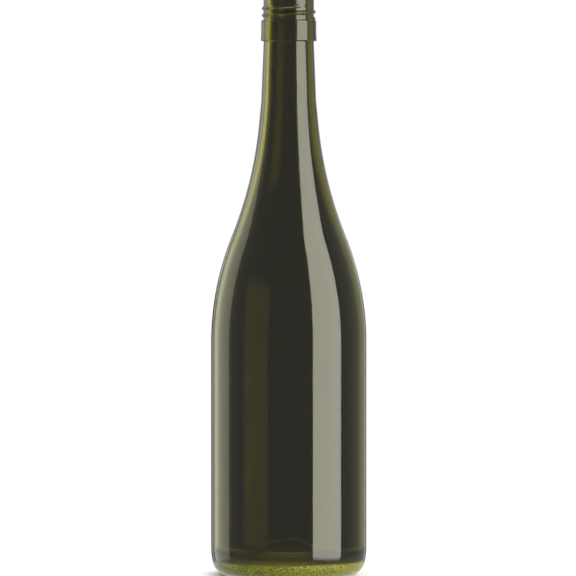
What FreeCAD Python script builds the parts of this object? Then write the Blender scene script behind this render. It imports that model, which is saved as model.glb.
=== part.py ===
"""Burgundy wine bottle of dark glass, 750 ml, empty and open, with a screw finish.

One piece of blown glass, drawn as its mould and its blow give it: an outer
outline turned round the axis, the hollow turned out of it, and the punt turned
out of the base.  Millimetres, +Z up, origin on the axis in the plane that the
bottle stands on.
"""

import FreeCAD, Part
import math
import os

import Sketcher
from FreeCAD import Vector

NODE = "bottle"
SHEET = "Sizes"

# Driving dimensions: name, value in millimetres or degrees, what it is.
SIZES = [
    ("overall_height", 308.5, "standing plane to the top of the mouth"),
    ("body_diameter", 81.4, "outside of the straight body"),
    ("heel_height", 14.9, "where the heel runs out into the body"),
    ("heel_radius", 8.2, "round of the heel beside the bearing ring"),
    ("heel_sweep_radius", 36.8, "long round between the heel and the body"),
    ("bearing_width", 2.4, "flat ring that the bottle stands on"),
    ("shoulder_radius", 149.0, "long outward round of the shoulder"),
    ("neck_sweep_radius", 213.5, "long inward round from shoulder to neck"),
    ("neck_taper_angle", 5.5, "slope of the neck below the skirt line"),
    ("neck_taper_length", 12.0, "length of that slope"),
    ("skirt_zone", 60.0, "mouth down to the line that a cap's skirt reaches"),
    ("skirt_line_diameter", 28.7, "outside of the neck at the skirt line"),
    ("finish_taper_angle", 2.3, "slope of the neck above the skirt line"),
    ("collar_underside", 28.7, "mouth down to the collar's lower edge"),
    ("collar_height", 10.8, "lower edge of the collar to its top"),
    ("collar_overhang", 1.3, "step from the neck out to the collar's land"),
    ("collar_flare_height", 5.4, "lower part of the collar, which flares"),
    ("collar_flare_angle", 2.6, "slope of the flare"),
    ("thread_land_depth", 1.2, "step from the collar's land in to the thread land"),
    ("mouth_bore", 18.8, "bore just inside the mouth"),
    ("bore_taper_angle", 1.4, "slope of the bore, wider downwards"),
    ("body_wall", 3.1, "glass of the straight body and of the shoulder"),
    ("inner_heel_radius", 8.8, "round between the inner wall and the floor"),
    ("floor_glass", 7.1, "standing plane up to the floor's lowest ring"),
    ("floor_flank_length", 8.0, "straight slope inside, between crown and floor"),
    ("punt_depth", 15.2, "standing plane up to the punt's crown"),
    ("punt_crown_radius", 17.6, "round of the punt's crown, underneath"),
    ("punt_flank_radius", 30.0, "round from the crown out to the bearing ring"),
    ("punt_glass", 4.2, "glass between the punt's crown and the inside"),
    ("rim_outer_round", 1.3, "round outside the mouth"),
    ("rim_inner_round", 0.9, "round inside the mouth"),
    ("collar_edge_round", 0.5, "rounds of the collar's two edges"),
    ("collar_corner_round", 0.6, "rounds in the corners below and above the collar"),
    ("overcut", 1.0, "how far the cutting outlines run past the glass"),
]

# Places that several outlines share, as expressions on the sheet.
BODY_RADIUS = "{body_diameter} / 2"
INNER_RADIUS = "{body_diameter} / 2 - {body_wall}"
SKIRT_LINE_HEIGHT = "{overall_height} - {skirt_zone}"
COLLAR_BOTTOM = "{overall_height} - {collar_underside}"
COLLAR_TOP = f"{COLLAR_BOTTOM} + {{collar_height}}"
FLARE_TOP = f"{COLLAR_BOTTOM} + {{collar_flare_height}}"
FINISH_RUN = "({skirt_zone} - {collar_underside})"
COLLAR_RADIUS = (
    "{skirt_line_diameter} / 2"
    f" - tan({{finish_taper_angle}}) * {FINISH_RUN} + {{collar_overhang}}"
)
THREAD_LAND_RADIUS = f"{COLLAR_RADIUS} - {{thread_land_depth}}"
MOUTH_WALL = f"({THREAD_LAND_RADIUS} - {{mouth_bore}} / 2)"
RIM_OUTER_ROUND = f"min({{rim_outer_round}}; {MOUTH_WALL} * 0.45)"
RIM_INNER_ROUND = f"min({{rim_inner_round}}; {MOUTH_WALL} * 0.35)"
CORNER_ROUND = "min({collar_corner_round}; {thread_land_depth} * 0.45)"
EDGE_ROUND = "min({collar_edge_round}; {thread_land_depth} * 0.45)"
FLOOR_CROWN = "{punt_depth} + {punt_glass}"
FLOOR_CROWN_RADIUS = "{punt_crown_radius} + {punt_glass}"
INNER_SHOULDER_RADIUS = "{shoulder_radius} - {body_wall}"
INNER_SWEEP_RADIUS = "{neck_sweep_radius} + {body_wall}"
SHOULDER_START = "OuterOutline.Constraints.shoulder_start"
PUNT_FOOT_RADIUS = "OuterOutline.Constraints.bearing_radius / 1 mm - {bearing_width}"

# How a sketch constraint names the origin, the axes and the ends of a piece.
ORIGIN = (-1, 1)
HORIZONTAL_AXIS = -1
VERTICAL_AXIS = -2
START, END, CENTRE = 1, 2, 3


def make_sheet(doc):
    """The spreadsheet of driving dimensions, one alias to a row."""
    sheet = doc.addObject("Spreadsheet::Sheet", SHEET)
    for row, (name, value, meaning) in enumerate(SIZES, start=1):
        sheet.set(f"A{row}", name)
        sheet.set(f"B{row}", str(value))
        sheet.set(f"C{row}", meaning)
        sheet.setAlias(f"B{row}", name)
    doc.recompute()
    return sheet


def on_sheet(text):
    """An expression whose names in braces are read from the sheet."""
    return text.replace("{", f"{SHEET}.").replace("}", "")


def polar(centre, radius, degrees):
    """The point at that angle on a circle in the sketch plane."""
    angle = math.radians(degrees)
    return centre + Vector(radius * math.cos(angle), radius * math.sin(angle), 0)


def heading(start, end):
    """The direction in degrees from one point to another."""
    return math.degrees(math.atan2(end.y - start.y, end.x - start.x))


class Outline:
    """A closed chain of lines and arcs in a sketch of the body's XZ plane.

    It is drawn from point to point: each piece starts where the last one ended
    and meets it at a corner or, if smooth, in line with it.  The first corners
    drawn are only a start for the solver; what holds the outline are its
    constraints, and their values are bound to the sheet.
    """

    def __init__(self, body, sheet, name, start):
        self.sheet = sheet
        self.sketch = body.newObject("Sketcher::SketchObject", name)
        plane = [part for part in body.Origin.OriginFeatures if part.Role == "XZ_Plane"]
        self.sketch.AttachmentSupport = [(plane[0], "")]
        self.sketch.MapMode = "FlatFace"
        self.here = start
        self.chain = []

    def value(self, expression):
        """The number that an expression on the sheet comes to."""
        return float(self.sheet.evalExpression(on_sheet(expression)))

    def constrain(self, *terms):
        return self.sketch.addConstraint(Sketcher.Constraint(*terms))

    def bind(self, name, expression, *terms):
        """A dimension named in the sketch and bound to the sheet."""
        number = self.value(expression)
        if terms[0] == "Angle":
            number = math.radians(number)
        self.sketch.renameConstraint(self.constrain(*terms, number), name)
        self.sketch.setExpression(f"Constraints.{name}", on_sheet(expression))

    def read(self, name, *terms):
        """A named dimension that only reads a place the outline works out."""
        index = self.constrain(*terms, 1.0)
        self.sketch.setDriving(index, False)
        self.sketch.renameConstraint(index, name)

    def add(self, geometry, start_end, stop_end, end, smooth):
        index = self.sketch.addGeometry(geometry, False)
        if self.chain:
            before, _, stop = self.chain[-1]
            kind = "Tangent" if smooth else "Coincident"
            self.constrain(kind, before, stop, index, start_end)
        self.chain.append((index, start_end, stop_end))
        self.here = end
        return index

    def line(self, end, smooth=False, along=None):
        """A straight piece, held along "Horizontal" or "Vertical" if given."""
        index = self.add(Part.LineSegment(self.here, end), 1, 2, end, smooth)
        if along:
            self.constrain(along, index)
        return index

    def arc(self, radius, centre, until, smooth=True):
        """An arc about a centre to the direction `until`, the shorter way round.

        Its radius is an expression, which is bound and lends the dimension its
        name, or a number where the neighbours of the arc decide it.
        """
        number = self.value(radius) if isinstance(radius, str) else radius
        begin = heading(centre, self.here)
        turn = (until - begin + 180) % 360 - 180
        circle = Part.Circle(centre, Vector(0, 0, 1), number)
        low, high = sorted((math.radians(begin), math.radians(begin + turn)))
        ends = (1, 2) if turn > 0 else (2, 1)
        piece = Part.ArcOfCircle(circle, low, high)
        index = self.add(piece, *ends, polar(centre, number, until), smooth)
        if isinstance(radius, str):
            self.bind(f"radius_{index}", radius, "Radius", index)
        return index

    def rounded(self, radius, corner, beyond, along=None):
        """A straight piece towards a corner, and the arc that rounds the corner."""
        number = self.value(radius)
        into, away = heading(self.here, corner), heading(corner, beyond)
        turn = (away - into + 180) % 360 - 180
        side = math.copysign(90, turn)
        setback = number * math.tan(math.radians(abs(turn) / 2))
        after_arc = isinstance(self.sketch.Geometry[self.chain[-1][0]], Part.ArcOfCircle)
        straight = self.line(polar(corner, -setback, into), after_arc, along)
        self.arc(radius, polar(self.here, number, into + side), away - side)
        return straight

    def on_axis(self, arc):
        """Holds the arc that crowns the outline square to the turning axis."""
        self.constrain("PointOnObject", arc, END, VERTICAL_AXIS)
        self.constrain("PointOnObject", arc, CENTRE, VERTICAL_AXIS)

    def close(self):
        """Joins the last piece to the first."""
        last, _, stop = self.chain[-1]
        first, start, _ = self.chain[0]
        self.constrain("Coincident", last, stop, first, start)



def outer_outline(body, sheet):
    """The outside of the bottle, from the standing plane up to the mouth."""
    outline = Outline(body, sheet, "OuterOutline", Vector(0, 0, 0))
    value = outline.value
    height, body_radius = value("{overall_height}"), value(BODY_RADIUS)

    # The heel: a small round off the bearing ring, then a long one up the side.
    heel, sweep = value("{heel_radius}"), value("{heel_sweep_radius}")
    sweep_centre = Vector(body_radius - sweep, value("{heel_height}"), 0)
    drop = sweep_centre.y - heel
    heel_centre = Vector(sweep_centre.x + math.sqrt((sweep - heel) ** 2 - drop**2), heel, 0)
    base = outline.line(Vector(heel_centre.x, 0, 0), along="Horizontal")
    outline.arc("{heel_radius}", heel_centre, heading(sweep_centre, heel_centre))
    outline.arc("{heel_sweep_radius}", sweep_centre, 0)

    # The shoulder and the neck: two long rounds between the body and a straight
    # slope, which ends at the skirt line.
    taper = value("{neck_taper_angle}")
    skirt_line = Vector(value("{skirt_line_diameter} / 2"), value(SKIRT_LINE_HEIGHT), 0)
    slope_start = polar(skirt_line, -value("{neck_taper_length}"), 90 + taper)
    neck_centre = polar(slope_start, value("{neck_sweep_radius}"), taper)
    shoulder_x = body_radius - value("{shoulder_radius}")
    between = value("{shoulder_radius} + {neck_sweep_radius}")
    rise = math.sqrt(between**2 - (neck_centre.x - shoulder_x) ** 2)
    shoulder_centre = Vector(shoulder_x, neck_centre.y - rise, 0)
    side = outline.line(Vector(body_radius, shoulder_centre.y, 0), True, "Vertical")
    outline.arc("{shoulder_radius}", shoulder_centre, heading(shoulder_centre, neck_centre))
    outline.arc("{neck_sweep_radius}", neck_centre, 180 + taper)
    slope = outline.line(skirt_line, smooth=True)

    # The finish: neck, collar with its flared foot, thread land and mouth.
    collar_bottom, collar_top = value(COLLAR_BOTTOM), value(COLLAR_TOP)
    collar, land = value(COLLAR_RADIUS), value(THREAD_LAND_RADIUS)
    neck_top = Vector(collar - value("{collar_overhang}"), collar_bottom, 0)
    flare_top = Vector(collar, value(FLARE_TOP), 0)
    flare_run = (flare_top.y - collar_bottom) * value("tan({collar_flare_angle})")
    flare_foot = Vector(collar + flare_run, collar_bottom, 0)
    step_out, step_in = Vector(collar, collar_top, 0), Vector(land, collar_top, 0)
    rim, top = Vector(land, height, 0), Vector(0, height, 0)
    neck = outline.rounded(CORNER_ROUND, neck_top, flare_foot)
    underside = outline.rounded(EDGE_ROUND, flare_foot, flare_top, "Horizontal")
    flare = outline.line(flare_top, smooth=True)
    collar_side = outline.rounded(EDGE_ROUND, step_out, step_in, "Vertical")
    shelf = outline.rounded(CORNER_ROUND, step_in, rim, "Horizontal")
    thread_land = outline.rounded(RIM_OUTER_ROUND, rim, top, "Vertical")
    mouth = outline.line(top, True, "Horizontal")
    outline.line(Vector(0, 0, 0), along="Vertical")
    outline.close()

    outline.constrain("Coincident", base, START, *ORIGIN)
    outline.bind("body_radius", BODY_RADIUS, "DistanceX", *ORIGIN, side, START)
    outline.bind("heel_height", "{heel_height}", "DistanceY", *ORIGIN, side, START)
    outline.bind("taper_angle", "90 + {neck_taper_angle}", "Angle", slope)
    outline.bind("taper_length", "{neck_taper_length}", "Distance", slope)
    outline.bind("skirt_radius", "{skirt_line_diameter} / 2", "DistanceX", *ORIGIN, slope, END)
    outline.bind("skirt_height", SKIRT_LINE_HEIGHT, "DistanceY", *ORIGIN, slope, END)
    outline.bind("finish_angle", "90 + {finish_taper_angle}", "Angle", neck)
    outline.bind("collar_bottom", COLLAR_BOTTOM, "DistanceY", *ORIGIN, underside, START)
    outline.bind("flare_angle", "90 + {collar_flare_angle}", "Angle", flare)
    outline.bind("flare_top", FLARE_TOP, "DistanceY", *ORIGIN, flare, END)
    outline.bind("collar_radius", COLLAR_RADIUS, "DistanceX", *ORIGIN, collar_side, START)
    outline.bind("collar_top", COLLAR_TOP, "DistanceY", *ORIGIN, shelf, START)
    outline.bind("land_radius", THREAD_LAND_RADIUS, "DistanceX", *ORIGIN, thread_land, START)
    outline.bind("height", "{overall_height}", "DistanceY", *ORIGIN, mouth, START)
    outline.read("bearing_radius", "DistanceX", *ORIGIN, base, END)
    outline.read("shoulder_start", "DistanceY", *ORIGIN, side, END)
    return outline.sketch


def hollow_outline(body, sheet):
    """The inside: the floor over the punt, the wall, the shoulder and the bore."""
    crown = Vector(0, sheet.evalExpression(on_sheet(FLOOR_CROWN)), 0)
    outline = Outline(body, sheet, "HollowOutline", crown)
    value = outline.value
    height, inner_radius = value("{overall_height}"), value(INNER_RADIUS)

    # The floor: a crown, a straight flank down to a hollow ring, and the round
    # up into the wall.  The ring's own radius follows from the flank's length.
    crown_radius = value(FLOOR_CROWN_RADIUS)
    ring = Vector(inner_radius - value("{inner_heel_radius}"), value("{floor_glass}"), 0)
    flank_length = value("{floor_flank_length}")
    drop = crown.y - ring.y
    radii = (ring.x**2 + drop**2 - flank_length**2) / (2 * drop)
    crown_centre = Vector(0, crown.y - crown_radius, 0)
    ring_centre = Vector(ring.x, ring.y + radii - crown_radius, 0)
    skew = math.degrees(math.atan2(flank_length, radii))
    facing = heading(crown_centre, ring_centre) + skew
    crown_arc = outline.arc(FLOOR_CROWN_RADIUS, crown_centre, facing)
    flank = outline.line(polar(ring_centre, radii - crown_radius, 180 + facing), True)
    outline.arc(radii - crown_radius, ring_centre, 270)
    heel_centre = Vector(ring.x, ring.y + value("{inner_heel_radius}"), 0)
    heel_arc = outline.arc("{inner_heel_radius}", heel_centre, 0)

    # The shoulder starts with the outer one; the sweep above it ends on the bore.
    taper = value("{bore_taper_angle}")
    rim_round = value(RIM_INNER_ROUND)
    bore_top = Vector(
        value("{mouth_bore} / 2"), height - rim_round * (1 + math.sin(math.radians(taper))), 0
    )
    inner_sweep = value(INNER_SWEEP_RADIUS)
    shoulder = Vector(inner_radius, value(SHOULDER_START), 0)
    shoulder_centre = shoulder - Vector(value(INNER_SHOULDER_RADIUS), 0, 0)
    outward, upward = polar(Vector(), 1, taper), polar(Vector(), 1, 90 + taper)
    across = inner_sweep - (shoulder_centre - bore_top).dot(outward)
    between = value(f"{INNER_SHOULDER_RADIUS} + {INNER_SWEEP_RADIUS}")
    along = math.sqrt(between**2 - across**2)
    sweep_centre = shoulder_centre + outward * across + upward * along
    wall = outline.line(shoulder, True, "Vertical")
    outline.arc(INNER_SHOULDER_RADIUS, shoulder_centre, heading(shoulder_centre, sweep_centre))
    outline.arc(INNER_SWEEP_RADIUS, sweep_centre, 180 + taper)
    bore = outline.line(bore_top, smooth=True)
    rim_arc = outline.arc(RIM_INNER_ROUND, polar(bore_top, rim_round, taper), 90)

    # Past the mouth, so that the cut is clean.
    above = height + value("{overcut}")
    rise = outline.line(Vector(outline.here.x, above, 0), along="Vertical")
    outline.line(Vector(0, above, 0), along="Horizontal")
    outline.line(crown, along="Vertical")
    outline.close()

    outline.on_axis(crown_arc)
    outline.bind("crown_height", FLOOR_CROWN, "DistanceY", *ORIGIN, crown_arc, END)
    outline.bind("flank_length", "{floor_flank_length}", "Distance", flank)
    outline.bind("floor_glass", "{floor_glass}", "DistanceY", *ORIGIN, heel_arc, START)
    outline.constrain("Vertical", heel_arc, CENTRE, heel_arc, START)
    outline.bind("inner_radius", INNER_RADIUS, "DistanceX", *ORIGIN, wall, START)
    outline.bind("shoulder_start", SHOULDER_START, "DistanceY", *ORIGIN, wall, END)
    outline.bind("bore_angle", "90 + {bore_taper_angle}", "Angle", bore)
    outline.bind("mouth_radius", "{mouth_bore} / 2", "DistanceX", *ORIGIN, bore, END)
    outline.constrain("Vertical", rim_arc, CENTRE, rim_arc, START)
    outline.bind("rim_height", "{overall_height}", "DistanceY", *ORIGIN, rim_arc, START)
    outline.bind("cut_top", "{overall_height} + {overcut}", "DistanceY", *ORIGIN, rise, END)
    return outline.sketch


def punt_outline(body, sheet):
    """The hollow pushed up into the base, from its crown out to the bearing ring."""
    crown = Vector(0, sheet.evalExpression(on_sheet("{punt_depth}")), 0)
    outline = Outline(body, sheet, "PuntOutline", crown)
    value = outline.value

    crown_centre = crown - Vector(0, value("{punt_crown_radius}"), 0)
    foot = Vector(value(PUNT_FOOT_RADIUS), 0, 0)
    flank = value("{punt_flank_radius}")
    between = value("{punt_crown_radius} + {punt_flank_radius}")
    reach = foot.distanceToPoint(crown_centre)
    along = (between**2 - flank**2 + reach**2) / (2 * reach)
    to_foot = heading(crown_centre, foot)
    beside = polar(crown_centre, along, to_foot)
    flank_centre = polar(beside, math.sqrt(between**2 - along**2), to_foot + 90)
    crown_arc = outline.arc(
        "{punt_crown_radius}", crown_centre, heading(crown_centre, flank_centre)
    )
    outline.arc("{punt_flank_radius}", flank_centre, heading(flank_centre, foot))

    below = -value("{overcut}")
    drop = outline.line(Vector(foot.x, below, 0), along="Vertical")
    outline.line(Vector(0, below, 0), along="Horizontal")
    outline.line(crown, along="Vertical")
    outline.close()

    outline.on_axis(crown_arc)
    outline.bind("punt_depth", "{punt_depth}", "DistanceY", *ORIGIN, crown_arc, END)
    outline.bind("foot_radius", PUNT_FOOT_RADIUS, "DistanceX", *ORIGIN, drop, START)
    outline.constrain("PointOnObject", drop, START, HORIZONTAL_AXIS)
    outline.bind("cut_bottom", "{overcut}", "DistanceY", drop, END, *ORIGIN)
    return outline.sketch


def turned(body, kind, name, sketch):
    """A full turn of an outline round the bottle's axis, added or cut."""
    feature = body.newObject(kind, name)
    feature.Profile = sketch
    feature.ReferenceAxis = (sketch, ["V_Axis"])
    feature.Angle = 360
    body.Document.recompute()
    return feature


def make_bottle(doc, sheet):
    """The bottle: turned outside, less the hollow, less the punt."""
    body = doc.addObject("PartDesign::Body", "Bottle")
    body.Label = NODE
    steps = [
        ("PartDesign::Revolution", "Gob", outer_outline),
        ("PartDesign::Groove", "Hollow", hollow_outline),
        ("PartDesign::Groove", "Punt", punt_outline),
    ]
    before = 0.0
    for kind, name, outline in steps:
        sketch = outline(body, sheet)
        doc.recompute()
        if not sketch.FullyConstrained:
            raise RuntimeError(f"{sketch.Name} isn't fully constrained")
        volume = turned(body, kind, name, sketch).Shape.Volume
        if (volume > before) != (kind == "PartDesign::Revolution"):
            raise RuntimeError(f"{name} changed nothing: {before} to {volume} mm3")
        before = volume
    return body


def check(doc, bodies):
    """Stops at a feature that failed, or at a body that isn't one sound solid."""
    failed = [o.Name for o in doc.Objects if {"Invalid", "Error"} & set(o.State)]
    if failed:
        raise RuntimeError(f"failed: {', '.join(failed)}")
    for body in bodies:
        shape = body.Shape
        if shape.isNull() or not shape.isValid() or len(shape.Solids) != 1:
            raise RuntimeError(f"{body.Label} isn't one valid solid")


def main():
    doc = FreeCAD.newDocument("BurgundyBottle")
    bottle = make_bottle(doc, make_sheet(doc))
    doc.recompute()
    check(doc, [bottle])
    os.makedirs("parts", exist_ok=True)
    bottle.Shape.exportStep(f"parts/{bottle.Label}.step")
    box = bottle.Shape.optimalBoundingBox(False)
    print(f"{bottle.Label}: {bottle.Shape.Volume / 1000:.1f} cm3 of glass")
    print(f"{box.XLength:.2f} x {box.YLength:.2f} x {box.ZLength:.2f} mm")


main()
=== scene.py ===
"""Empty burgundy wine bottle of dark olive glass, as a Blender add-on run as a script."""

import math

import bpy
import numpy as np
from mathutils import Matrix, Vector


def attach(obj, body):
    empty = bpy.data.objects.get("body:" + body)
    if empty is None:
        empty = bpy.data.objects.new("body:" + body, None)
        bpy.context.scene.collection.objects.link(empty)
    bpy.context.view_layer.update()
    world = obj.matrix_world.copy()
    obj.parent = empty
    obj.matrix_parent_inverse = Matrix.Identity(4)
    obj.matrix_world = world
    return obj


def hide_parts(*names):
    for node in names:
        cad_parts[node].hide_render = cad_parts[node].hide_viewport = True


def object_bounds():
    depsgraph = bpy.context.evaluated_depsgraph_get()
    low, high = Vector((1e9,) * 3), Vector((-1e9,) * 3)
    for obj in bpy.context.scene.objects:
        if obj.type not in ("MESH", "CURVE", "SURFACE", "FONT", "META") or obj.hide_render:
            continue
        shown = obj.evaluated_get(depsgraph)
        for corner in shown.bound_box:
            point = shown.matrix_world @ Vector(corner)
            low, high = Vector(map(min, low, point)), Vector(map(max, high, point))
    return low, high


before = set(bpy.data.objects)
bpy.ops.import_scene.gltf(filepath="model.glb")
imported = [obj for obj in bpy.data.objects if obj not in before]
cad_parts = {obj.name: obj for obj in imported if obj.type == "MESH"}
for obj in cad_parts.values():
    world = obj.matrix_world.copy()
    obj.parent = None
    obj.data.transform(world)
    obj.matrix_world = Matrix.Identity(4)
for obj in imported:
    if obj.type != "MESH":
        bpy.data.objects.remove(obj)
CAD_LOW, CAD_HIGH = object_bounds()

bl_info = {
    "name": "Burgundy bottle",
    "version": (1, 0, 0),
    "blender": (4, 5, 0),
    "location": "View3D > Sidebar > Bottle",
    "description": "Glass bottle with a screw finish and a punt, and its studio",
    "category": "Object",
}

MM = 0.001
HEIGHT = CAD_HIGH[2] - CAD_LOW[2]
DIAMETER = CAD_HIGH[0] - CAD_LOW[0]

# Angle of one step along a small round, in radians.
ROUND_STEP = 0.3

# The black card's cut as (height, half width) in mm, a little outside the bottle,
# and how much wider its left half is than its right one.
CARD_CUT = np.array(
    [
        (0, 57),
        (135, 57),
        (150, 53),
        (165, 46),
        (186, 40),
        (207, 33.5),
        (228, 30),
        (249, 28),
        (315, 28),
    ]
)
CARD_LEFT = 1.05


# ---------------------------------------------------------------- properties


def length(name, millimetres, description):
    """A length that a user may change, stored in metres."""
    return bpy.props.FloatProperty(
        name=name, description=description, default=millimetres * MM, unit="LENGTH", precision=5
    )


def slope(name, degrees, description):
    """An angle that a user may change."""
    return bpy.props.FloatProperty(
        name=name, description=description, default=math.radians(degrees), subtype="ANGLE"
    )


class BottleSizes(bpy.types.PropertyGroup):
    """The outline of the glass, outside and inside."""

    height: length("Height", HEIGHT / MM, "Standing plane to the top of the mouth")
    diameter: length("Diameter", DIAMETER / MM, "Outside of the straight body")
    heel_height: length("Heel height", 14.9, "Where the heel runs out into the body")
    heel_radius: length("Heel radius", 8.2, "Round beside the bearing ring")
    heel_sweep: length("Heel sweep", 36.8, "Long round between heel and body")
    bearing_width: length("Bearing width", 2.4, "Ring that the bottle stands on")
    shoulder_radius: length("Shoulder radius", 149.0, "Outward round of the shoulder")
    neck_sweep: length("Neck sweep", 213.5, "Inward round from shoulder to neck")
    neck_taper: slope("Neck taper", 5.5, "Slope of the neck below the skirt line")
    neck_taper_length: length("Neck taper length", 12.0, "Length of that slope")
    skirt_zone: length("Skirt zone", 60.0, "Mouth down to the line a cap's skirt reaches")
    skirt_diameter: length("Skirt line diameter", 28.7, "Outside of the neck at that line")
    finish_taper: slope("Finish taper", 2.3, "Slope of the neck above the skirt line")
    collar_underside: length("Collar underside", 28.7, "Mouth down to the collar's edge")
    collar_height: length("Collar height", 10.8, "Lower edge of the collar to its top")
    collar_overhang: length("Collar overhang", 1.3, "Step from the neck out to the collar")
    flare_height: length("Flare height", 5.4, "Lower part of the collar, which flares")
    flare_angle: slope("Flare angle", 2.6, "Slope of the flare")
    land_depth: length("Thread land depth", 1.2, "Step from the collar in to the land")
    mouth_bore: length("Mouth bore", 18.8, "Bore just inside the mouth")
    bore_taper: slope("Bore taper", 1.4, "Slope of the bore, wider downwards")
    wall: length("Wall", 3.1, "Glass of the body and of the shoulder")
    inner_heel: length("Inner heel radius", 8.8, "Round between inner wall and floor")
    floor_glass: length("Floor glass", 7.1, "Standing plane to the floor's lowest ring")
    floor_flank: length("Floor flank", 8.0, "Straight slope between crown and floor")
    punt_depth: length("Punt depth", 15.2, "Standing plane to the punt's crown")
    punt_crown: length("Punt crown radius", 17.6, "Round of the punt's crown")
    punt_flank: length("Punt flank radius", 30.0, "Round from crown to bearing ring")
    punt_glass: length("Punt glass", 4.2, "Glass between the crown and the inside")
    rim_outer: length("Outer rim round", 1.3, "Round outside the mouth")
    rim_inner: length("Inner rim round", 0.9, "Round inside the mouth")
    edge_round: length("Collar edge round", 0.5, "Rounds of the collar's two edges")
    corner_round: length("Collar corner round", 0.6, "Rounds below and above the collar")
    columns: bpy.props.IntProperty(
        name="Columns", description="Steps round the bottle", default=216, min=24
    )


class ThreadSizes(bpy.types.PropertyGroup):
    """The single-start, right-hand screw thread on the finish."""

    pitch: length("Pitch", 3.58, "Rise of the thread in one turn")
    crest: length("Crest", 0.95, "How far the ridge stands out from its land")
    half_width: length("Half width", 1.35, "Half of the ridge's width at its foot")
    start_rise: length("Start rise", 0.8, "Height of the ridge over the collar at angle zero")
    start: slope("Start", -25.0, "Where the ridge begins, counted round from +X")
    stop: slope("Stop", 672.0, "Where the ridge ends, nearly two turns on")
    run_out: slope("Run-out", 35.0, "Over how much of a turn each end fades")


class GlassLook(bpy.types.PropertyGroup):
    """Colour and surface of the glass."""

    tint: bpy.props.StringProperty(
        name="Tint", description="Colour that a thin wall has, as sRGB hex", default="#969262"
    )
    depth_tint: bpy.props.StringProperty(
        name="Depth tint", description="Colour that depth adds, as sRGB hex", default="#E2E361"
    )
    density: bpy.props.FloatProperty(
        name="Density", description="How strongly depth absorbs, per metre", default=250.0
    )
    frost: bpy.props.FloatProperty(
        name="Frost",
        description="Share of the light that a stippled dot scatters",
        default=0.9,
        subtype="FACTOR",
    )
    frost_between: bpy.props.FloatProperty(
        name="Frost between",
        description="Share that the skin between two dots scatters",
        default=0.3,
        subtype="FACTOR",
    )
    # Also the colour of the painted highlight line along the punt's contour.
    frost_and_painted_line_tint: bpy.props.StringProperty(
        name="Frost tint", description="Colour of that light, as sRGB hex", default="#B0B230"
    )
    roughness: bpy.props.FloatProperty(
        name="Roughness",
        description="Roughness of the fire-polished skin",
        default=0.015,
        subtype="FACTOR",
    )
    stipple_roughness: bpy.props.FloatProperty(
        name="Stipple roughness",
        description="Roughness of the stippled skin",
        default=0.1,
        subtype="FACTOR",
    )
    ripple: length("Ripple", 22.0, "Spacing of the faint waves that blowing leaves")
    ripple_depth: length("Ripple depth", 0.02, "Height of those waves")
    stipple: length("Stipple", 0.8, "Spacing of the knurled dots on the bearing ring")
    stipple_depth: length("Stipple depth", 0.4, "Height of those dots")
    stipple_full: length("Stipple full", 7.0, "Height up to which the dots are at full strength")
    stipple_end: length("Stipple end", 9.0, "Height at which they have run out")
    # The next four place the painted highlight line, a thin olive line on the punt's skin where it
    # is seen edge-on.
    painted_line_radius: length("Dull radius", 28.0, "Radius out to which the punt's skin is dull")
    painted_line_radius_end: length("Dull radius end", 31.0, "Radius at which it is glossy again")
    painted_line_height: length("Dull height", 21.5, "Height up to which the punt's skin is dull")
    painted_line_height_end: length("Dull height end", 22.5, "Height at which it is glossy again")


class StudioSetup(bpy.types.PropertyGroup):
    """Camera, lights and surroundings."""

    distance: length("Camera distance", 2700.0, "Lens to the bottle's axis")
    side: length("Camera side", -0.4, "Lens beside the bottle's axis, towards +X")
    eye: length("Camera height", 250.0, "Lens above the standing plane")
    aim: length("Aim height", 150.5, "Where on the axis the camera points")
    view_width: length("View width", 301.6, "Width of the view at the bottle")
    room: bpy.props.FloatProperty(
        name="Room", description="Radiance of the dim room around", default=0.46
    )
    paper_edge: slope("Paper edge", 25.0, "Half of the angle that the paper behind covers")
    side_room: bpy.props.FloatProperty(
        name="Room beside the paper", description="Its radiance beside the paper", default=0.48
    )
    room_edge: slope("Room edge", 62.0, "Bearing past which the room has its plain radiance")
    table: length("Table", 150.0, "Radius of the white table top")
    shadow_full: length("Shadow full", 34.0, "Radius out to which the table takes the shadow")
    shadow_end: length("Shadow end", 48.0, "Radius past which the table shows plain white")
    card_distance: length("Card distance", 47.0, "Bottle's axis to the black card behind it")
    lamp_distance: length("Lamp distance", 800.0, "Soft lights to the bottle's axis")
    lamp_bottom: length("Lamp bottom", -260.0, "Lower ends of the soft lights")
    lamp_top: length("Lamp top", 1100.0, "Upper ends of the soft lights")
    lamp_fade: length("Lamp fade", 120.0, "Over how much height they fade out below")
    right_bearing: slope("Right light", 58.9, "Its bearing from the camera towards +X")
    right_spread: slope("Right spread", 46.8, "Angle that the right light's width covers")
    right_radiance: bpy.props.FloatProperty(
        name="Right radiance", description="Radiance of the right light", default=5.4
    )
    left_bearing: slope("Left light", -120.5, "Its bearing from the camera towards +X")
    left_spread: slope("Left spread", 45.0, "Angle that the left light's width covers")
    left_radiance: bpy.props.FloatProperty(
        name="Left radiance", description="Radiance of the left light", default=1.15
    )
    light_colour: bpy.props.StringProperty(
        name="Light colour", description="Colour of lamps and room, as sRGB hex", default="#FFFFF6"
    )


# ---------------------------------------------------------- outline of glass


def heading(start, end):
    """The direction from one point to another, in radians."""
    return math.atan2(end[1] - start[1], end[0] - start[0])


def polar(centre, radius, angle):
    """centre + radius (cos angle, sin angle), for one angle or an array of them."""
    angle = np.asarray(angle)
    return np.asarray(centre) + radius * np.stack([np.cos(angle), np.sin(angle)], -1)


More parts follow.
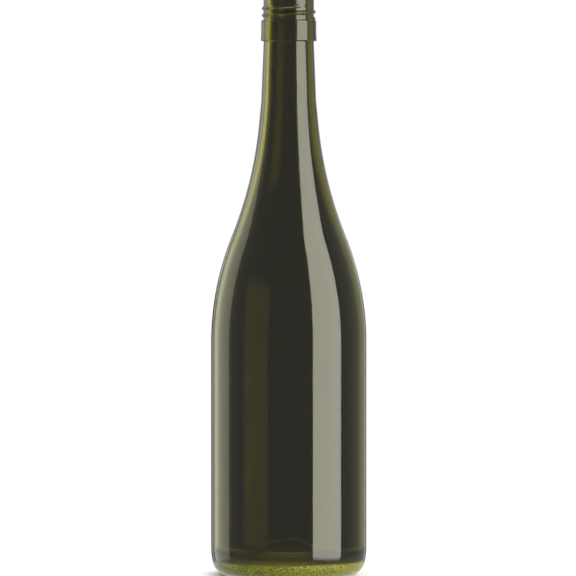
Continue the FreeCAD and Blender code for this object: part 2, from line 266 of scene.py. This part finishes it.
class Profile:
    """An outline of lines and arcs in the half plane (radius, height).

    A line is sampled at equal steps, an arc at equal angles, so that no step is
    longer than `step`; both include their last point and leave out their first.
    """

    def __init__(self, start):
        self.rows = [np.asarray([start], float)]

    @property
    def here(self):
        """The last point so far."""
        return self.rows[-1][-1]

    def line(self, end, step):
        """The straight line from here to `end`."""
        count = max(1, math.ceil(np.linalg.norm(np.asarray(end) - self.here) / step))
        share = np.linspace(0, 1, count + 1)[1:, None]
        self.rows.append(self.here * (1 - share) + np.asarray(end) * share)

    def arc(self, centre, radius, until, step):
        """The arc to the direction `until`, the shorter way round."""
        begin = heading(centre, self.here)
        turn = (until - begin + math.pi) % math.tau - math.pi
        count = max(3, math.ceil(abs(turn) * radius / step))
        self.rows.append(polar(centre, radius, begin + turn * np.arange(1, count + 1) / count))

    def rounded(self, radius, corner, beyond, step):
        """A line towards a corner, and the arc that rounds the corner off.

        The line stops radius * tan(turn / 2) before the corner, where the arc
        that touches both of its sides begins.
        """
        into, away = heading(self.here, corner), heading(corner, beyond)
        turn = (away - into + math.pi) % math.tau - math.pi
        side = math.copysign(math.pi / 2, turn)
        self.line(polar(corner, -radius * math.tan(abs(turn) / 2), into), step)
        self.arc(polar(self.here, radius, into + side), radius, away - side, radius * ROUND_STEP)

    def points(self):
        """All points so far, one row of (radius, height) to a point."""
        return np.concatenate(self.rows)


def shoulder_start(size):
    """The outer shoulder's lower end, the neck sweep's centre and the skirt point.

    The first is a height, the others are points, the last one on the skirt line.

    The shoulder's circle and the neck sweep's touch, so their centres lie the sum
    of both radii apart.  The sweep's centre stands square to the neck's slope, and
    the shoulder's lies its radius inside the body's wall, so the height between
    them follows from Pythagoras.
    """
    skirt = np.array([size.skirt_diameter / 2, size.height - size.skirt_zone])
    start = polar(skirt, -size.neck_taper_length, math.pi / 2 + size.neck_taper)
    neck_centre = polar(start, size.neck_sweep, size.neck_taper)
    across = neck_centre[0] - (size.diameter / 2 - size.shoulder_radius)
    rise = math.sqrt((size.shoulder_radius + size.neck_sweep) ** 2 - across**2)
    return neck_centre[1] - rise, neck_centre, skirt


def outer_profile(size, step):
    """The outside, from the punt's crown out under the base and up to the rim.

    Arcs and lines that touch each other.  Tight rounds have shorter steps than
    `step`, and straight glass has longer ones.  Gives the outline, the radius of
    the thread's land and the height of the collar's top.
    """
    # The heel's round lies inside the long sweep and touches it, so their centres
    # are the difference of their radii apart.
    radius = size.diameter / 2
    drop = size.heel_height - size.heel_radius
    sweep = np.array([radius - size.heel_sweep, size.heel_height])
    outward = math.sqrt((size.heel_sweep - size.heel_radius) ** 2 - drop**2)
    heel = np.array([sweep[0] + outward, size.heel_radius])

    # The punt: a crown, and a flank that touches it and ends on the bearing ring.
    # Its centre is the crossing of a circle round the crown's centre and one
    # round the foot, `along` their line and square to it.
    foot = np.array([heel[0] - size.bearing_width, 0.0])
    crown = np.array([0.0, size.punt_depth - size.punt_crown])
    between = size.punt_crown + size.punt_flank
    reach = np.linalg.norm(foot - crown)
    along = (between**2 - size.punt_flank**2 + reach**2) / (2 * reach)
    beside = polar(crown, along, heading(crown, foot))
    flank = polar(beside, math.sqrt(between**2 - along**2), heading(crown, foot) + math.pi / 2)
    outline = Profile([0.0, size.punt_depth])
    outline.arc(crown, size.punt_crown, heading(crown, flank), step)
    outline.arc(flank, size.punt_flank, heading(flank, foot), step)

    # Bearing ring, heel and body.
    outline.line([heel[0], 0.0], step / 3)
    outline.arc(heel, size.heel_radius, heading(sweep, heel), step / 2)
    outline.arc(sweep, size.heel_sweep, 0.0, step)
    start, neck_centre, skirt = shoulder_start(size)
    outline.line([radius, start], step * 4)

    # Shoulder, neck and the slope up to the skirt line.
    shoulder = np.array([radius - size.shoulder_radius, start])
    outline.arc(shoulder, size.shoulder_radius, heading(shoulder, neck_centre), step * 1.6)
    outline.arc(neck_centre, size.neck_sweep, math.pi + size.neck_taper, step * 1.6)
    outline.line(skirt, step * 2)

    # Finish: neck, collar with its flared foot, and the land up to the rim.
    top = size.height
    bottom = top - size.collar_underside
    narrowing = math.tan(size.finish_taper) * (size.skirt_zone - size.collar_underside)
    neck_top = size.skirt_diameter / 2 - narrowing
    collar = neck_top + size.collar_overhang
    foot_radius = collar + math.tan(size.flare_angle) * size.flare_height
    flare_top = bottom + size.flare_height
    collar_top = bottom + size.collar_height
    land = collar - size.land_depth
    small = step / 2
    thread_step = 0.22 * MM  # fine enough to carry the thread's relief
    outline.rounded(size.corner_round, [neck_top, bottom], [foot_radius, bottom], step * 2)
    outline.rounded(size.edge_round, [foot_radius, bottom], [collar, flare_top], small)
    outline.line([collar, flare_top], small)
    outline.rounded(size.edge_round, [collar, collar_top], [land, collar_top], small)
    outline.rounded(size.corner_round, [land, collar_top], [land, top], small)
    outline.rounded(size.rim_outer, [land, top], [0.0, top], thread_step)
    return outline, land, collar_top


def inner_profile(outline, size, step):
    """The inside, from the rim down the bore and the wall to the floor's crown."""
    top = size.height
    inside = size.diameter / 2 - size.wall
    taper = size.bore_taper
    bore_top = np.array([size.mouth_bore / 2, top - size.rim_inner * (1 + math.sin(taper))])
    rim = polar(bore_top, size.rim_inner, taper)
    outline.line([rim[0], top], step / 2)
    outline.arc(rim, size.rim_inner, math.pi + taper, size.rim_inner * ROUND_STEP)

    # The sweep is tangent to the bore and to the shoulder, which starts level
    # with the outer one and is concentric with it.
    start = shoulder_start(size)[0]
    round_in, sweep_in = size.shoulder_radius - size.wall, size.neck_sweep + size.wall
    shoulder = np.array([inside - round_in, start])
    outward = polar([0, 0], 1, taper)
    upward = polar([0, 0], 1, math.pi / 2 + taper)
    across = sweep_in - (shoulder - bore_top) @ outward
    along = math.sqrt((round_in + sweep_in) ** 2 - across**2)
    sweep = shoulder + outward * across + upward * along
    outline.line(polar(sweep, sweep_in, math.pi + taper), step * 2)
    outline.arc(sweep, sweep_in, heading(sweep, shoulder), step * 1.6)
    outline.arc(shoulder, round_in, 0.0, step * 1.6)

    # The floor: a hollow ring, a straight flank up, and the crown over the punt.
    # The flank touches both rounds, so (sum of radii)^2 + flank^2 is the square of
    # the distance between their centres, which gives that sum as `radii`.
    ring = np.array([inside - size.inner_heel, size.floor_glass])
    crown_radius = size.punt_crown + size.punt_glass
    crown = np.array([0.0, size.punt_depth + size.punt_glass - crown_radius])
    drop = size.punt_depth + size.punt_glass - size.floor_glass
    radii = (ring[0] ** 2 + drop**2 - size.floor_flank**2) / (2 * drop)
    ring_radius = radii - crown_radius
    ring_centre = ring + [0.0, ring_radius]
    facing = heading(crown, ring_centre) + math.atan2(size.floor_flank, radii)
    outline.line([inside, size.floor_glass + size.inner_heel], step * 4)
    outline.arc(ring + [0.0, size.inner_heel], size.inner_heel, -math.pi / 2, step / 2)
    outline.arc(ring_centre, ring_radius, facing + math.pi, step)
    outline.line(polar(crown, crown_radius, facing), step)
    outline.arc(crown, crown_radius, math.pi / 2, step)


# ------------------------------------------------------------------ surfaces


def ramp(low, high, value):
    """3 t^2 - 2 t^3 with t = (value - low) / (high - low), held between 0 and 1."""
    share = np.clip((value - low) / (high - low), 0, 1)
    return share * share * (3 - 2 * share)


def thread_relief(angle, height, thread, foot):
    """How far the thread stands out at an angle and a height.

    The ridge's middle climbs as foot + pitch * turns, with the turns counted from
    angle zero.  Across the ridge the relief is crest * cos^2 of the distance
    from that middle, and it fades to nothing over the run-out at both ends.
    """
    relief = np.zeros(np.broadcast(angle, height).shape)
    first = math.floor(thread.start / math.tau)
    last = math.ceil(thread.stop / math.tau)
    for turn in range(first, last):
        along = angle + turn * math.tau
        middle = foot + thread.pitch * along / math.tau
        across = np.clip((height - middle) / thread.half_width, -1, 1)
        fade = ramp(thread.start, thread.start + thread.run_out, along)
        fade = fade * ramp(thread.stop, thread.stop - thread.run_out, along)
        relief = np.maximum(relief, fade * thread.crest * np.cos(across * math.pi / 2) ** 2)
    return relief


def turned_mesh(name, radius, height, columns):
    """A closed skin from a grid of radii and heights, one row to a height.

    Row i, column j lies at (r cos a, r sin a, z) with a = 2 pi j / columns.  The
    first and last rows are single points on the axis.
    """
    angle = np.arange(columns) * math.tau / columns
    grid = np.stack([radius * np.cos(angle), radius * np.sin(angle), height], -1)
    body = grid[1:-1]
    rows = len(body)
    points = np.concatenate([grid[:1, 0], body.reshape(-1, 3), grid[-1:, 0]])
    ring = np.arange(columns)
    after = (ring + 1) % columns
    low = 1 + np.arange(rows - 1)[:, None] * columns
    quads = np.stack([low + ring, low + after, low + columns + after, low + columns + ring], -1)
    quads = quads.reshape(-1, 4)
    first = np.stack([np.zeros_like(ring), 1 + after, 1 + ring], -1)
    base = 1 + (rows - 1) * columns
    last = np.stack([np.full_like(ring, len(points) - 1), base + ring, base + after], -1)
    fans = np.concatenate([first, last])

    mesh = bpy.data.meshes.new(name)
    mesh.vertices.add(len(points))
    mesh.vertices.foreach_set("co", points.ravel())
    corners = np.concatenate([fans.ravel(), quads.ravel()])
    starts = np.concatenate([np.arange(len(fans)) * 3, fans.size + np.arange(len(quads)) * 4])
    mesh.loops.add(len(corners))
    mesh.loops.foreach_set("vertex_index", corners)
    mesh.polygons.add(len(starts))
    mesh.polygons.foreach_set("loop_start", starts)
    mesh.update(calc_edges=True)
    mesh.validate()
    mesh.shade_smooth()
    return mesh


def bottle_mesh(size, thread):
    """The whole skin of the glass, outside and inside, with the thread on it.

    The outline is turned round the axis: radius (height) + relief (angle, height).
    """
    step = 1.25 * MM
    margin = 0.1 * MM
    outline, land, collar_top = outer_profile(size, step)
    outside_rows = len(outline.points())
    inner_profile(outline, size, step)
    points = outline.points()
    angle = np.arange(size.columns) * math.tau / size.columns
    height = np.repeat(points[:, 1:], size.columns, 1)
    radius = np.repeat(points[:, :1], size.columns, 1)
    relief = thread_relief(angle[None, :], height, thread, collar_top + thread.start_rise)
    on_land = np.arange(len(points)) < outside_rows
    on_land &= points[:, 1] > collar_top - margin
    on_land &= points[:, 0] < land + size.corner_round
    radius = radius + relief * on_land[:, None]
    return turned_mesh("bottle_glass", radius, height, size.columns)


# ----------------------------------------------------------------- materials


def srgb(hex_code):
    """An sRGB hex value as linear RGBA."""
    parts = [int(hex_code[i : i + 2], 16) / 255 for i in (1, 3, 5)]
    return [p / 12.92 if p <= 0.04045 else ((p + 0.055) / 1.055) ** 2.4 for p in parts] + [1.0]


def add_node(tree, kind, links=None, **settings):
    """A node with its settings: attributes by name, sockets by index or name.

    `links` gives the output that feeds each input.
    """
    node = tree.nodes.new(kind)
    sockets = settings.pop("sockets", {})
    for name, value in settings.items():
        setattr(node, name, value)
    for name, value in sockets.items():
        node.inputs[name].default_value = value
    for name, output in (links or {}).items():
        tree.links.new(output, node.inputs[name])
    return node


def new_material(name):
    """An empty material and its node tree."""
    material = bpy.data.materials.new(name)
    material.use_nodes = True
    material.node_tree.nodes.clear()
    return material, material.node_tree


def antique_green_glass(look):
    """Antique green container glass, blow-moulded and fire-polished.

    Each pass through a wall tints the light, and depth takes more of its blue, so
    thick edges are yellow-green and the body is nearly black.  The skin is glossy,
    with the faint long waves that blowing leaves.  The knurled dots that the mould
    stamps into the bearing ring and the heel scatter light and glitter.  They are
    drawn a little coarser than real ones, so that they show.  A painted highlight
    runs as a thin olive line along the punt's contour: where the punt's skin is
    seen edge-on, it scatters light in the frost tint instead of letting it through.
    The lamps light that line through the walls, but it lies only where the skin is
    seen edge-on.
    """
    material, tree = new_material("antique_green_glass_blow_moulded")
    place = add_node(tree, "ShaderNodeTexCoord").outputs["Object"]
    height = add_node(tree, "ShaderNodeSeparateXYZ", {"Vector": place}).outputs["Z"]
    level = add_node(
        tree,
        "ShaderNodeVectorMath",
        {0: place},
        operation="MULTIPLY",
        sockets={1: (1.0, 1.0, 0.0)},
    )
    off_axis = add_node(
        tree, "ShaderNodeVectorMath", {0: level.outputs["Vector"]}, operation="LENGTH"
    ).outputs["Value"]
    facing = add_node(tree, "ShaderNodeLayerWeight").outputs["Facing"]

    # Soft steps, each from 0 at the first value to 1 at the second: the stippled
    # heel, the reach of the painted highlight line out to the bearing ring and up to
    # the crown inside, and skin that is seen nearly edge-on.
    oblique, grazing = 0.5, 0.8
    at_heel, inside_ring, below_crown, edge_on = [
        add_node(
            tree,
            "ShaderNodeMapRange",
            {"Value": value},
            interpolation_type="SMOOTHSTEP",
            sockets={"From Min": zero, "From Max": one},
        ).outputs["Result"]
        for value, zero, one in (
            (height, look.stipple_end, look.stipple_full),
            (off_axis, look.painted_line_radius_end, look.painted_line_radius),
            (height, look.painted_line_height_end, look.painted_line_height),
            (facing, oblique, grazing),
        )
    ]

    # Waves and knurled dots.
    waves = add_node(
        tree,
        "ShaderNodeTexNoise",
        {"Vector": place},
        sockets={"Scale": 1 / look.ripple, "Detail": 1.0, "Roughness": 0.4},
    )
    ripple = add_node(
        tree,
        "ShaderNodeBump",
        {"Height": waves.outputs["Fac"]},
        sockets={"Strength": 1.0, "Distance": look.ripple_depth},
    )
    dots = add_node(
        tree,
        "ShaderNodeTexVoronoi",
        {"Vector": place},
        feature="SMOOTH_F1",
        sockets={"Scale": 1 / look.stipple, "Smoothness": 0.6},
    )
    knurl = add_node(
        tree,
        "ShaderNodeBump",
        {
            "Height": dots.outputs["Distance"],
            "Strength": at_heel,
            "Normal": ripple.outputs["Normal"],
        },
        sockets={"Distance": look.stipple_depth},
    )

    # A dot scatters most in its middle.  Distances from it are in cells.
    middle, rim = 0.15, 0.55
    frosted = add_node(
        tree,
        "ShaderNodeMapRange",
        {"Value": dots.outputs["Distance"]},
        sockets={
            "From Min": middle,
            "From Max": rim,
            "To Min": look.frost,
            "To Max": look.frost_between,
        },
    )
    stippled = add_node(
        tree, "ShaderNodeMath", {0: frosted.outputs["Result"], 1: at_heel}, operation="MULTIPLY"
    )
    rough = add_node(
        tree,
        "ShaderNodeMapRange",
        {"Value": at_heel},
        sockets={"To Min": look.roughness, "To Max": look.stipple_roughness},
    )

    # Painted highlight line: the punt's skin, above and below, where it is seen edge-on.
    punt = add_node(tree, "ShaderNodeMath", {0: inside_ring, 1: below_crown}, operation="MULTIPLY")
    painted_line = add_node(
        tree, "ShaderNodeMath", {0: punt.outputs[0], 1: edge_on}, operation="MULTIPLY"
    )

    # What isn't scattered goes through, and the stippled heel and the painted highlight line take
    # the frost tint.
    scattered = add_node(
        tree, "ShaderNodeMath", {0: stippled.outputs[0], 1: painted_line.outputs[0]}, operation="MAXIMUM"
    )
    clear = add_node(
        tree, "ShaderNodeMath", {1: scattered.outputs[0]}, operation="SUBTRACT", sockets={0: 1.0}
    )
    frost_and_painted_line = add_node(
        tree, "ShaderNodeMath", {0: at_heel, 1: painted_line.outputs[0]}, operation="MAXIMUM"
    )
    colour = add_node(
        tree,
        "ShaderNodeMix",
        {"Factor": frost_and_painted_line.outputs[0]},
        data_type="RGBA",
        sockets={6: srgb(look.tint), 7: srgb(look.frost_and_painted_line_tint)},
    )
    skin = add_node(
        tree,
        "ShaderNodeBsdfPrincipled",
        {
            "Base Color": colour.outputs[2],
            "Normal": knurl.outputs["Normal"],
            "Transmission Weight": clear.outputs[0],
            "Roughness": rough.outputs["Result"],
        },
        sockets={"IOR": 1.52},
    )
    depth = add_node(
        tree,
        "ShaderNodeVolumeAbsorption",
        sockets={"Color": srgb(look.depth_tint), "Density": look.density},
    )
    add_node(
        tree,
        "ShaderNodeOutputMaterial",
        {"Surface": skin.outputs["BSDF"], "Volume": depth.outputs["Volume"]},
    )
    return material


def seen_directly(tree):
    """Two outputs: 1 for camera rays, and 1 for glossy and transmission rays."""
    rays = add_node(tree, "ShaderNodeLightPath").outputs
    mirrored = add_node(
        tree,
        "ShaderNodeMath",
        {0: rays["Is Glossy Ray"], 1: rays["Is Transmission Ray"]},
        operation="MAXIMUM",
    )
    return rays["Is Camera Ray"], mirrored.outputs[0]


def white_paper(setup):
    """Matt white paper on the table, even and without a shine.

    Close to the bottle it takes the contact shadow.  Further out it shows as plain
    white and runs into the white backdrop.  The stage hides it from glossy and
    transmission rays, so only the camera sees that.
    """
    material, tree = new_material("paper_white_matt")
    paper = add_node(
        tree, "ShaderNodeBsdfDiffuse", sockets={"Color": srgb("#F7F7F7"), "Roughness": 0.6}
    )
    glow = add_node(
        tree, "ShaderNodeEmission", sockets={"Color": srgb("#FFFFFF"), "Strength": 1.0}
    )
    place = add_node(tree, "ShaderNodeTexCoord").outputs["Object"]
    away = add_node(tree, "ShaderNodeVectorMath", {0: place}, operation="LENGTH")
    past_shadow = add_node(
        tree,
        "ShaderNodeMapRange",
        {"Value": away.outputs["Value"]},
        interpolation_type="SMOOTHSTEP",
        sockets={"From Min": setup.shadow_full, "From Max": setup.shadow_end},
    )
    camera, mirrored = seen_directly(tree)
    seen = add_node(tree, "ShaderNodeMath", {0: camera, 1: mirrored}, operation="MAXIMUM")
    share = add_node(
        tree, "ShaderNodeMath", {0: seen.outputs[0], 1: past_shadow.outputs[0]}, operation="MULTIPLY"
    )
    mix = add_node(
        tree,
        "ShaderNodeMixShader",
        {0: share.outputs[0], 1: paper.outputs["BSDF"], 2: glow.outputs["Emission"]},
    )
    add_node(tree, "ShaderNodeOutputMaterial", {"Surface": mix.outputs["Shader"]})
    return material


def black_card():
    """Matt black mounting card, which gives the glass a deep dark to show."""
    material, tree = new_material("card_black_matt")
    card = add_node(
        tree, "ShaderNodeBsdfDiffuse", sockets={"Color": srgb("#242424"), "Roughness": 0.8}
    )
    add_node(tree, "ShaderNodeOutputMaterial", {"Surface": card.outputs["BSDF"]})
    return material


# ------------------------------------------------------------- making pieces


def link_object(name, data):
    """A new object in the scene's own collection."""
    thing = bpy.data.objects.new(name, data)
    bpy.context.scene.collection.objects.link(thing)
    return thing


class BOTTLE_OT_glass(bpy.types.Operator):
    """Makes the glass bottle with its thread, collar and punt"""

    bl_idname = "bottle.glass"
    bl_label = "Glass bottle"

    def execute(self, context):
        scene = context.scene
        mesh = bottle_mesh(scene.bottle_sizes, scene.bottle_thread)
        mesh.materials.append(antique_green_glass(scene.bottle_look))
        bottle = link_object("bottle_glass", mesh)
        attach(bottle, "root")
        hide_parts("bottle")
        return {"FINISHED"}


def softbox(name, setup, bearing, spread, radiance):
    """A rectangular soft light that faces the bottle's axis and fades out below.

    `bearing` is its direction from the axis, counted from the camera towards +X,
    and `spread` the angle that its width covers from there.  Its power is radiance
    times pi times its area.
    """
    low, high, distance = setup.lamp_bottom, setup.lamp_top, setup.lamp_distance
    lamp = bpy.data.lights.new(name, "AREA")
    lamp.shape = "RECTANGLE"
    lamp.size = 2 * distance * math.tan(spread / 2)
    lamp.size_y = high - low
    lamp.energy = radiance * math.pi * lamp.size * lamp.size_y
    lamp.color = srgb(setup.light_colour)[:3]
    lamp.use_nodes = True
    tree = lamp.node_tree
    tree.nodes.clear()
    place = add_node(tree, "ShaderNodeNewGeometry").outputs["Position"]
    height = add_node(tree, "ShaderNodeSeparateXYZ", {"Vector": place}).outputs["Z"]
    strength = add_node(
        tree,
        "ShaderNodeMapRange",
        {"Value": height},
        interpolation_type="SMOOTHSTEP",
        sockets={"From Min": low, "From Max": low + setup.lamp_fade},
    )
    glow = add_node(tree, "ShaderNodeEmission", {"Strength": strength.outputs["Result"]})
    add_node(tree, "ShaderNodeOutputLight", {"Surface": glow.outputs["Emission"]})
    box = link_object(name, lamp)
    middle = (low + high) / 2
    box.location = (distance * math.sin(bearing), -distance * math.cos(bearing), middle)
    box.rotation_euler = (math.pi / 2, 0, bearing)
    box.visible_camera = False


def studio_world(setup):
    """A dim room with white paper behind the bottle.

    Camera rays see white all round.  Glossy and transmission rays see white only
    on the paper behind the bottle, and elsewhere the dim room, which keeps the
    glass dark and is a little brighter beside the paper.  The bearing is the angle
    round from straight behind the bottle, and the paper's edge is soft over its
    last part.
    """
    world = bpy.data.worlds.new("studio")
    world.use_nodes = True
    tree = world.node_tree
    tree.nodes.clear()
    direction = add_node(tree, "ShaderNodeTexCoord").outputs["Generated"]
    axes = add_node(tree, "ShaderNodeSeparateXYZ", {"Vector": direction}).outputs
    bearing = add_node(
        tree, "ShaderNodeMath", {0: axes["X"], 1: axes["Y"]}, operation="ARCTAN2"
    )
    off_centre = add_node(
        tree, "ShaderNodeMath", {0: bearing.outputs[0]}, operation="ABSOLUTE"
    ).outputs[0]
    soft_from = 0.94 * setup.paper_edge
    on_paper = add_node(
        tree,
        "ShaderNodeMapRange",
        {"Value": off_centre},
        interpolation_type="SMOOTHSTEP",
        sockets={"From Min": setup.paper_edge, "From Max": soft_from},
    )
    camera, mirrored = seen_directly(tree)
    reflected = add_node(
        tree, "ShaderNodeMath", {0: mirrored, 1: on_paper.outputs["Result"]}, operation="MULTIPLY"
    )
    white = add_node(
        tree, "ShaderNodeMath", {0: camera, 1: reflected.outputs[0]}, operation="MAXIMUM"
    )
    level = add_node(
        tree,
        "ShaderNodeMapRange",
        {"Value": off_centre},
        interpolation_type="SMOOTHSTEP",
        sockets={
            "From Min": setup.room_edge,
            "From Max": setup.paper_edge,
            "To Min": setup.room,
            "To Max": setup.side_room,
        },
    )
    room = add_node(
        tree,
        "ShaderNodeBackground",
        {"Strength": level.outputs["Result"]},
        sockets={"Color": srgb(setup.light_colour)},
    )
    paper = add_node(
        tree, "ShaderNodeBackground", sockets={"Color": srgb("#FFFFFF"), "Strength": 1.0}
    )
    mix = add_node(
        tree,
        "ShaderNodeMixShader",
        {0: white.outputs[0], 1: room.outputs["Background"], 2: paper.outputs["Background"]},
    )
    add_node(tree, "ShaderNodeOutputWorld", {"Surface": mix.outputs["Shader"]})
    return world


class BOTTLE_OT_stage(bpy.types.Operator):
    """Sets up the floor, the soft lights, the surroundings and the camera"""

    bl_idname = "bottle.stage"
    bl_label = "Studio"

    def execute(self, context):
        scene = context.scene
        setup = scene.bottle_studio
        sides = 64
        turn = np.arange(sides) * math.tau / sides
        rim = np.stack([np.cos(turn), np.sin(turn), 0 * turn], -1) * setup.table
        sheet = bpy.data.meshes.new("floor")
        sheet.from_pydata(rim, [], [range(sides)])
        sheet.materials.append(white_paper(setup))
        floor = link_object("floor", sheet)
        # The glass neither mirrors the table nor shows it, although its material
        # would allow both: seen through the glass, the table's far edge would read
        # as a liquid level.
        floor.visible_glossy = False
        floor.visible_transmission = False

        # Up the right edge of the card and down its left one.  Only the glass
        # shows it.
        cut = CARD_CUT * MM
        outline = [(half, setup.card_distance, level) for level, half in cut]
        outline += [(-half * CARD_LEFT, setup.card_distance, level) for level, half in cut[::-1]]
        card = bpy.data.meshes.new("card")
        card.from_pydata(outline, [], [range(len(outline))])
        card.materials.append(black_card())
        flag = link_object("black_card", card)
        flag.visible_camera = flag.visible_diffuse = flag.visible_shadow = False

        right = (setup.right_bearing, setup.right_spread, setup.right_radiance)
        left = (setup.left_bearing, setup.left_spread, setup.left_radiance)
        softbox("softbox_right", setup, *right)
        softbox("softbox_left", setup, *left)
        scene.world = studio_world(setup)

        camera = bpy.data.cameras.new("camera")
        camera.sensor_width = 36.0
        camera.lens = camera.sensor_width * setup.distance / setup.view_width
        eye = link_object("camera", camera)
        eye.location = (setup.side, -setup.distance, setup.eye)
        tilt = math.atan2(setup.eye - setup.aim, setup.distance)
        eye.rotation_euler = (math.pi / 2 - tilt, 0, 0)
        scene.camera = eye
        scene.view_settings.view_transform = "Standard"
        return {"FINISHED"}


class BOTTLE_PT_panel(bpy.types.Panel):
    """Lists the sizes, colours and studio, and the tools that build them"""

    bl_label = "Burgundy bottle"
    bl_idname = "BOTTLE_PT_panel"
    bl_space_type = "VIEW_3D"
    bl_region_type = "UI"
    bl_category = "Bottle"

    def draw(self, context):
        for name in GROUPS:
            group = getattr(context.scene, name)
            box = self.layout.box()
            for value in group.bl_rna.properties.keys():
                if value not in ("rna_type", "name"):
                    box.prop(group, value)
        self.layout.operator(BOTTLE_OT_glass.bl_idname)
        self.layout.operator(BOTTLE_OT_stage.bl_idname)


GROUPS = {
    "bottle_sizes": BottleSizes,
    "bottle_thread": ThreadSizes,
    "bottle_look": GlassLook,
    "bottle_studio": StudioSetup,
}
CLASSES = [*GROUPS.values(), BOTTLE_OT_glass, BOTTLE_OT_stage, BOTTLE_PT_panel]


def register():
    """Adds the classes, and one group of values each to the scene."""
    for each in CLASSES:
        bpy.utils.register_class(each)
    for name, group in GROUPS.items():
        setattr(bpy.types.Scene, name, bpy.props.PointerProperty(type=group))


def unregister():
    """Takes away what register added."""
    for name in GROUPS:
        delattr(bpy.types.Scene, name)
    for each in reversed(CLASSES):
        bpy.utils.unregister_class(each)


def main():
    """Builds the studio and the bottle."""
    register()
    bpy.ops.bottle.stage()
    bpy.ops.bottle.glass()


if __name__ == "__main__":
    main()
